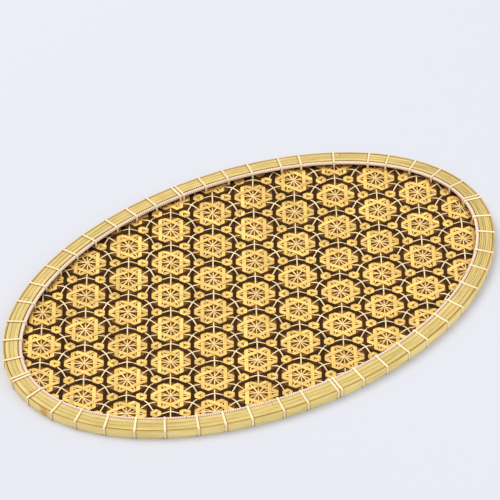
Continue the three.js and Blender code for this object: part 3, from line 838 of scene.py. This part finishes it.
def wrap_places(rim, weave):
    """Length walked to each wrap, cane by cane. Each wrap keeps to the middle of its share of the
    rim, or as near to it as it passes clear between the dark strips. A cane ends beside the next one
    in a double wrap."""
    total = rim_walk(rim)[2]
    share = total / rim.wraps
    corners = rim_points(rim, np.arange(rim.wraps) * share, 0.0, 0.0)[:, :2]
    ends = np.roll(corners, -1, 0)
    along = unit(ends - corners)
    inward = np.column_stack([-along[:, 1], along[:, 0]])
    legs_line = (corners + ends) / 2 + inward * LEG_MIDDLE - (0, weave.shift)
    dark_lines = [(across, (row + 0.5) * row_pitch(weave)) for _, across in weave_axes(weave)
                  for row in dark_rows(rim, weave, across)]

    def clear(side, shifts):
        points = [legs_line[side] + along[side] * shift for shift in shifts]
        return all(abs(p @ across - offset) > LEG_ROOM for p in points for across, offset in dark_lines)

    canes = [[] for _ in range(LASHING_CANES)]
    per_cane = rim.wraps // LASHING_CANES
    tries = [sign * k * SHIFT_STEP for k in range(SHIFT_TRIES) for sign in (1, -1)]
    for side in range(rim.wraps):
        double = side % per_cane == per_cane - 1
        legs = (-DOUBLE_HALF, DOUBLE_HALF) if double else (0.0,)
        shift = next((s for s in tries if clear(side, [s + leg for leg in legs])), 0.0)
        place = (side + 0.5) * share + shift
        canes[side // per_cane].append(place + legs[0])
        if double:
            back = total if side == rim.wraps - 1 else 0
            canes[(side // per_cane + 1) % LASHING_CANES].insert(0, place + legs[1] - back)
    return canes


def all_wraps(rim, weave):
    """Length walked to each wrap of all the canes."""
    return np.array(sum(wrap_places(rim, weave), []))


def skin_marks(rim, places, along, share, reach):
    """Painted shadow and grime on one side of the nearest wrap, and stain, on a hoop, a number for each of
    its rings: bell curves of the length walked past the nearest wrap, and past a share of the way round the
    rim."""
    past = rim_past(rim, along[:, None], places)
    past = past[np.arange(len(past)), np.abs(past).argmin(1)]
    stained = rim_past(rim, along, share * rim_walk(rim)[2])
    dirt = (past - SHADOW_AND_DIRT_PLACE) / SHADOW_AND_DIRT_WIDTH
    return {"dirt": np.exp(-dirt ** 2), "stain": np.exp(-(stained / reach) ** 2)}


def wrap_profile(rim):
    """One wrap in section, as rows of sideways shift, distance in, height and facing angle: up the
    outside of the hoop, over the rim, round the cane and down inside, with an arc at each bend."""
    lay = rim_layout(rim)
    outer, inner = lay["cover"]
    off = rim.lashing_thickness / 2 + LASHING_CLEAR
    wall_low, wall_high = LASHING_LOW + 0.8 * MM, rim.hoop_height - 0.5 * MM
    rows = [(3.5 * MM, LASHING_LOW, 270), (1.2 * MM, LASHING_LOW, 270)]

    def bend(middle, height, radius, turns, facing=360):
        for turn in turns:
            angle = math.radians(turn)
            rows.append((middle - radius * math.cos(angle), height + radius * math.sin(angle), facing + turn))

    bend(0.35 * MM, LASHING_LOW + LOWER_BEND, LOWER_BEND, (270, 300, 330, 360), 0)
    rows += [(-off, wall_low + (wall_high - wall_low) * part, 360) for part in np.linspace(0.1, 1, 8)]
    bend(UPPER_BEND, rim.hoop_height - UPPER_BEND, UPPER_BEND + off, (20, 45, 70, 90))
    for part in np.linspace(0.12, 1, 7):
        over = (inner - outer) * part
        rows.append((outer + over, rim.hoop_height + lay["slope"] * over + off, 450))
    bend(lay["cane"], lay["cane_height"], lay["radius"] + off, (75, 100, 125, 150, 180))
    rows += [(lay["cane"] + lay["radius"] + off, lay["cane_height"] - LEG_LENGTH * part, 540)
             for part in (0.35, 0.7, 1.0)]
    rows += [(lay["hold"][1] + 2.2 * MM, HOOPS_LOW, 590), (lay["hold"][1], LASHING_LOW, 620)]
    return np.array([(0.0, *row) for row in rows])


def lashing_grid(rim, places):
    """Lashing cane as one flat tube: its wraps in order, joined under the hoops by slanted runs."""
    wraps = [wrap_profile(rim) + (place, 0, 0, 0) for place in places]
    stations = []
    for here, after in zip(wraps, wraps[1:]):
        low, next_low = here[-1].copy(), after[0].copy()
        low[3] = next_low[3] = FACING_DOWN
        stations += [here, low + (next_low - low) * np.linspace(0.12, 0.88, 7)[:, None]]
    end = wraps[-1][-1].copy()
    end[1], end[3] = LASHING_END, FACING_DOWN
    along, inward, height, facing = np.concatenate([*stations, wraps[-1], end[None]]).T
    path = rim_points(rim, along, inward, height)
    into = unit(rim_points(rim, along, inward + MM, height) - path)
    facing = np.radians(facing)[:, None]
    step = unit(np.gradient(path, axis=0))
    side = unit(np.cross(step, -into * np.cos(facing) + np.array([0, 0, 1.0]) * np.sin(facing)))
    across, lift = flat_section(rim.lashing_width, rim.lashing_thickness)
    return path[:, None] + side[:, None] * across[:, None] + np.cross(side, step)[:, None] * lift[:, None]


class TRAY_OT_rim_hoops(Operator):
    """Build the outer hoop with its notches for the lashing, and the three hoops inside the rim"""

    bl_idname = "tray.rim_hoops"
    bl_label = "Rim hoops"

    def execute(self, context):
        rim, weave, looks = settings(context)
        lay = rim_layout(rim)
        notches = all_wraps(rim, weave)
        half = 0.5 * rim.hoop_height

        def notched(along, inward, up):
            near = np.abs(rim_past(rim, along[:, None], notches)).min(1)
            room = NOTCH_HEIGHT * smoothstep((NOTCH_HALF - near) / NOTCH_EDGE)
            lift = np.where(up < half, room[:, None] * (1 - up / half), 0)
            return inward, up + lift + ripple(rim, along, (7, 11, 17), RIPPLE, 0.7) * (up > half)

        skin = strip_material("outer hoop skin", looks.skin, 0.42, fibre=0.1, patch=0.14, grain=1100,
                              bump=0.2, streaks=SKIN_STREAKS, cut=CUT_EDGE, wrapped=SHADOW_AND_DIRT)
        section = box_section(0.0, rim.hoop_thickness, (0, 0), (rim.hoop_height,) * 2, HOOP_ROUND)
        hoop = hoop_grid(rim, section, OUTER_JOINT, SKIN_STEP, notched)
        walk = hoop_walk(rim, OUTER_JOINT, SKIN_STEP)
        marks = skin_marks(rim, notches, walk, HOOP_STAIN, STAIN_REACH)
        tube_piece("Outer_hoop", [hoop], skin, ["outer_hoop"], [0.7], skin=HOOP_SKIN,
                   marks=marks)

        # Brown core: painted shade in the gaps of the rim where it shows
        core = strip_material("hoop core", looks.core, 0.6, grain=900)
        top = [rim.hoop_height + lay["slope"] * (u - lay["core"][0]) - CORE_COVER
               for u in (*lay["core"], *lay["hold"])]
        for name, node, span, low, high, round_by, joint, tone in (
            ("Core_hoop", "core_hoop", lay["core"], HOOPS_LOW, top[:2], CORE_ROUND, CORE_JOINT, 0.4),
            ("Base_hoop", "base_hoop", lay["hold"], HOOPS_LOW, (BASE_TOP,) * 2, CORE_ROUND, BASE_JOINT, 0.6),
            ("Inner_hoop", "inner_hoop", lay["hold"], HOLD_LOW, top[2:], HOLD_ROUND, HOLD_JOINT, 0.5),
        ):
            section = box_section(*span, (low, low), high, round_by)
            hoop = hoop_grid(rim, section, joint, CORE_STEP)
            tube_piece(name, [hoop], core, [node], [tone])
        return {"FINISHED"}


class TRAY_OT_cover_strips(Operator):
    """Build the split bamboo strips that lie side by side over the rim"""

    bl_idname = "tray.cover_strips"
    bl_label = "Cover strips"

    def execute(self, context):
        rim, weave, looks = settings(context)
        lay = rim_layout(rim)
        outer, inner = lay["cover"]
        width = (inner - outer - 2 * COVER_SEAM) / 3
        skin = strip_material("cover skin", looks.cover, 0.42, fibre=0.14, patch=0.16, grain=1300, bump=0.25,
                              streaks=SKIN_STREAKS, cut=COVER_EDGE, wrapped=SHADOW_AND_DIRT, grooves=0.02)
        places = all_wraps(rim, weave)

        def worn(x, y, z):
            right, far = 2 * x / rim.long_axis, y / rim.short_axis
            return smoothstep((right - 0.25) / 0.5) * smoothstep((far + 0.5) * 4)

        for number, (joint, tone) in enumerate(zip(COVER_JOINTS, COVER_TONES)):
            out = outer + number * (width + COVER_SEAM)
            top = [rim.hoop_height + lay["slope"] * (u - outer) for u in (out, out + width)]
            section = box_section(out, out + width, [z - COVER_THICKNESS for z in top], top, COVER_ROUND)

            def uneven(along, inward, up, number=number):
                sideways = ripple(rim, along, (5, 9, 14), RIPPLE, 1.3 + number)
                lift = ripple(rim, along, (6, 13, 19), RIPPLE_UP, 2.1 * (number + 1))
                return inward + sideways, up + lift

            walk = hoop_walk(rim, joint, SKIN_STEP)
            marks = skin_marks(rim, places, walk, COVER_STAIN, STAIN_REACH - 2 * number * MM)
            tube_piece(f"Cover_strip_{number + 1}", [hoop_grid(rim, section, joint, SKIN_STEP, uneven)], skin,
                       [f"cover_strip_{number + 1}"], [tone], skin=COVER_SKIN,
                       marks={"worn": worn, **marks})
        return {"FINISHED"}


class TRAY_OT_inner_cane(Operator):
    """Build the round cane along the inside of the rim, with its fine slanted ribs"""

    bl_idname = "tray.inner_cane"
    bl_label = "Inner cane"

    def execute(self, context):
        rim, _, looks = settings(context)
        lay = rim_layout(rim)
        middle, height, radius = lay["cane"], lay["cane_height"], lay["radius"]
        turn = 2 * np.pi * np.arange(CANE_POINTS) / CANE_POINTS
        section = (middle + radius * np.cos(turn), height + radius * np.sin(turn))

        def ribbed(along, inward, up):
            swell = 1 - RIB_DEPTH + RIB_DEPTH * np.cos(2 * np.pi * along[:, None] / RIB_PITCH + turn)
            return middle + radius * np.cos(turn) * swell, height + radius * np.sin(turn) * swell

        # Where a point lies between the cane's ribs, for the painted shade there
        def rib(x, y, z):
            out = np.hypot(rim_distance(x, y, rim) - middle, z - height) / radius
            return (out - (1 - 2 * RIB_DEPTH)) / (2 * RIB_DEPTH)

        cane = strip_material("peeled cane", looks.cane, 0.6, fibre=0.08, patch=0.07, grain=1500, bump=0.2,
                              rib=PAINTED_RIB_SHADE)
        tube_piece("Inner_cane", [hoop_grid(rim, section, CANE_JOINT, CANE_STEP, ribbed)], cane,
                   ["inner_cane"], [0.5], sharp=80, marks={"rib": rib})
        return {"FINISHED"}


class TRAY_OT_lashing(Operator):
    """Wind the four lashing canes round the rim, each in one unbroken flat strip"""

    bl_idname = "tray.lashing"
    bl_label = "Lashing"

    def execute(self, context):
        rim, weave, looks = settings(context)
        cane = strip_material("lashing cane", looks.lashing, 0.42, fibre=0.08, patch=0.1, grain=1800,
                              bump=0.2)
        for number, places in enumerate(wrap_places(rim, weave)):
            tube_piece(f"Lashing_{number + 1}", [lashing_grid(rim, places)], cane,
                       [f"lashing_cane_{number + 1}"], [0.2 + 0.2 * number])
        return {"FINISHED"}


class TRAY_OT_backing_mat(Operator):
    """Weave the plain backing mat under the floor"""

    bl_idname = "tray.backing_mat"
    bl_label = "Backing mat"

    def execute(self, context):
        rim, weave, looks = settings(context)
        rng = np.random.default_rng(51)
        mat = strip_material("mat bamboo", looks.mat, 0.75, fibre=0.16, patch=0.25, grain=1200, bump=0.3,
                             spread=0.4, gloss=0.08, outer=tuple(looks.mat_shade), edge=CANE_SHADE)
        for lengthwise, name in ((True, "lengthwise"), (False, "crosswise")):
            grids = list(mat_strips(rim, weave, lengthwise, rng))
            tube_piece(f"Mat_{name}", grids, mat, ["backing_mat"],
                       rng.uniform(0, 1, len(grids)), marks=floor_marks(rim, weave, MAT_REACH), skin=MAT_TOP)
        return {"FINISHED"}


class TRAY_OT_pale_strips(Operator):
    """Weave the wide pale strips that make the flowers"""

    bl_idname = "tray.pale_strips"
    bl_label = "Pale strips"

    def execute(self, context):
        rim, weave, looks = settings(context)
        rng = np.random.default_rng(23)
        pale = strip_material("golden bamboo", looks.pale, 0.5, fibre=0.1, patch=0.14, grain=1400, bump=0.2,
                              spread=0.22, low=PALE_DEEP, cut=STRIP_EDGE_AND_SHADE, edge=CANE_SHADE, gloss=0.15)
        for family, name in enumerate(FAMILIES):
            grids = [grid for grid in pale_strips(rim, weave, family, rng) if grid is not None]
            tube_piece(f"Pale_strips_{name}", grids, pale, ["flower_net"],
                       rng.uniform(0, 1, len(grids)), marks=floor_marks(rim, weave), skin=STRIP_SKIN)
        return {"FINISHED"}


class TRAY_OT_dark_strips(Operator):
    """Weave the dark strips in three directions between the rows of flowers"""

    bl_idname = "tray.dark_strips"
    bl_label = "Dark strips"

    def execute(self, context):
        rim, weave, looks = settings(context)
        rng = np.random.default_rng(11)
        dark = strip_material("smoked bamboo", looks.dark, 0.55, fibre=0.24, patch=0.1, grain=1600, bump=0.3,
                              spread=0.3, gloss=0.06, edge=CANE_SHADE)
        for family, name in enumerate(FAMILIES):
            rows = dark_rows(rim, weave, weave_axes(weave)[family][1])
            for number, row in enumerate(rows):
                tube_piece(f"Dark_{name}_{number + 1}", [dark_strip(rim, weave, family, row, rng)], dark,
                           [f"dark_strip_{name}_{number + 1}"], [rng.uniform(0, 1)],
                           marks=floor_marks(rim, weave))
        return {"FINISHED"}


class TRAY_OT_thin_strips(Operator):
    """Weave the thin pale strips that meet in each flower and arch over the dark crossings"""

    bl_idname = "tray.thin_strips"
    bl_label = "Thin strips"

    def execute(self, context):
        rim, weave, looks = settings(context)
        rng = np.random.default_rng(37)
        # Thin strips take painted golden light inside the flowers and their cream colour outside
        thin = strip_material("thin bamboo", looks.thin, 0.45, fibre=0.06, patch=0.07, grain=2000, bump=0.12,
                              low=THIN_DEEP, outer=tuple(looks.bleached), edge=CANE_SHADE, gloss=0.25)
        for family, name in enumerate(FAMILIES):
            for kind, maker in (("Row", row_lines), ("Arch", arch_lines)):
                grids = [grid for grid in maker(rim, weave, family, rng) if grid is not None]
                tube_piece(f"{kind}_lines_{name}", grids, thin, ["flower_net"],
                           rng.uniform(0, 1, len(grids)), marks=floor_marks(rim, weave))
        return {"FINISHED"}


# Stage


def look_at_middle(place):
    """Matrix of a lamp at a place that looks at the middle of the tray."""
    return Matrix.LocRotScale(place, Vector(place).to_track_quat("Z", "Y"), None)


def camera_matrix():
    """Matrix of the camera: it looks at a point, turned round it, raised, drawn back and rolled."""
    turned = Matrix.Rotation(VIEW_TURN, 4, "Z") @ Matrix.Rotation(math.pi / 2 - VIEW_RISE, 4, "X")
    drawn = Matrix.Translation((0, 0, VIEW_DISTANCE)) @ Matrix.Rotation(VIEW_ROLL, 4, "Z")
    return Matrix.Translation(VIEW_AIM) @ turned @ drawn


class TRAY_OT_stage(Operator):
    """Make the pale floor, the soft lights and the camera"""

    bl_idname = "tray.stage"
    bl_label = "Stage"

    def execute(self, context):
        scene = context.scene
        mesh = bpy.data.meshes.new("Floor")
        corners = [(FLOOR_HALF * x, FLOOR_HALF * y, 0) for x, y in ((-1, -1), (1, -1), (1, 1), (-1, 1))]
        mesh.from_pydata(corners, [], [(0, 1, 2, 3)])
        add, ramp, finish = node_tree("pale floor")
        place = add("ShaderNodeTexCoord").outputs["Object"]
        cloud = add("ShaderNodeTexNoise", inputs={"Vector": place, "Scale": 1.5, "Detail": 1.0})
        dim, bright = (srgb(code) for code in FLOOR_TONES)
        tint = ramp(cloud.outputs["Fac"], (0.0, dim), (1.0, bright))
        mesh.materials.append(finish(tint, 0.9, 0.1))
        floor = linked("Floor", mesh)
        floor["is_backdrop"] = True

        world = bpy.data.worlds.new("Soft light")
        scene.world = world
        world.use_nodes = True
        background = world.node_tree.nodes["Background"]
        background.inputs["Color"].default_value = srgb(SKY[0])
        background.inputs["Strength"].default_value = SKY[1]
        scene.view_settings.view_transform = "Standard"
        for name, place, size, power, tint in LIGHTS:
            data = bpy.data.lights.new(name, "AREA")
            data.energy = power
            data.size = size
            data.color = srgb(tint)[:3]
            linked(name, data).matrix_world = look_at_middle(place)

        data = bpy.data.cameras.new("Camera")
        data.sensor_width = SENSOR_WIDTH
        data.lens = SENSOR_WIDTH * LENS_PIXELS / PICTURE_PIXELS
        data.clip_end = FARTHEST
        scene.camera = linked("Camera", data)
        scene.camera.matrix_world = camera_matrix()
        return {"FINISHED"}


class TRAY_PT_panel(Panel):
    """Sizes, colours and steps of the tray"""

    bl_idname = "TRAY_PT_panel"
    bl_label = "Woven Bamboo Tray"
    bl_space_type = "VIEW_3D"
    bl_region_type = "UI"
    bl_category = "Tray"

    def draw(self, context):
        for title, group in zip(("Rim", "Weave", "Colours"), settings(context)):
            box = self.layout.box()
            box.label(text=title)
            for name in group.bl_rna.properties.keys():
                if name not in ("rna_type", "name"):
                    box.prop(group, name)
        for operator in STEPS:
            self.layout.operator(operator.bl_idname)


STEPS = (
    TRAY_OT_rim_hoops,
    TRAY_OT_cover_strips,
    TRAY_OT_inner_cane,
    TRAY_OT_lashing,
    TRAY_OT_backing_mat,
    TRAY_OT_pale_strips,
    TRAY_OT_dark_strips,
    TRAY_OT_thin_strips,
    TRAY_OT_stage,
)
GROUPS = {"tray_rim": TrayRimSizes, "tray_weave": TrayWeaveSizes, "tray_colours": TrayColours}


def register():
    for cls in (*GROUPS.values(), *STEPS, TRAY_PT_panel):
        bpy.utils.register_class(cls)
    for name, group in GROUPS.items():
        setattr(bpy.types.Scene, name, PointerProperty(type=group))


def unregister():
    for name in GROUPS:
        delattr(bpy.types.Scene, name)
    for cls in (TRAY_PT_panel, *reversed(STEPS), *reversed(GROUPS.values())):
        bpy.utils.unregister_class(cls)


def main():
    register()
    for step in STEPS:
        group, name = step.bl_idname.split(".")
        getattr(getattr(bpy.ops, group), name)()
    boxes = {"cad": CAD_BOX, "visual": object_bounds()}
    {key: [list(corner) for corner in box] for key, box in boxes.items()}


if __name__ == "__main__":
    main()
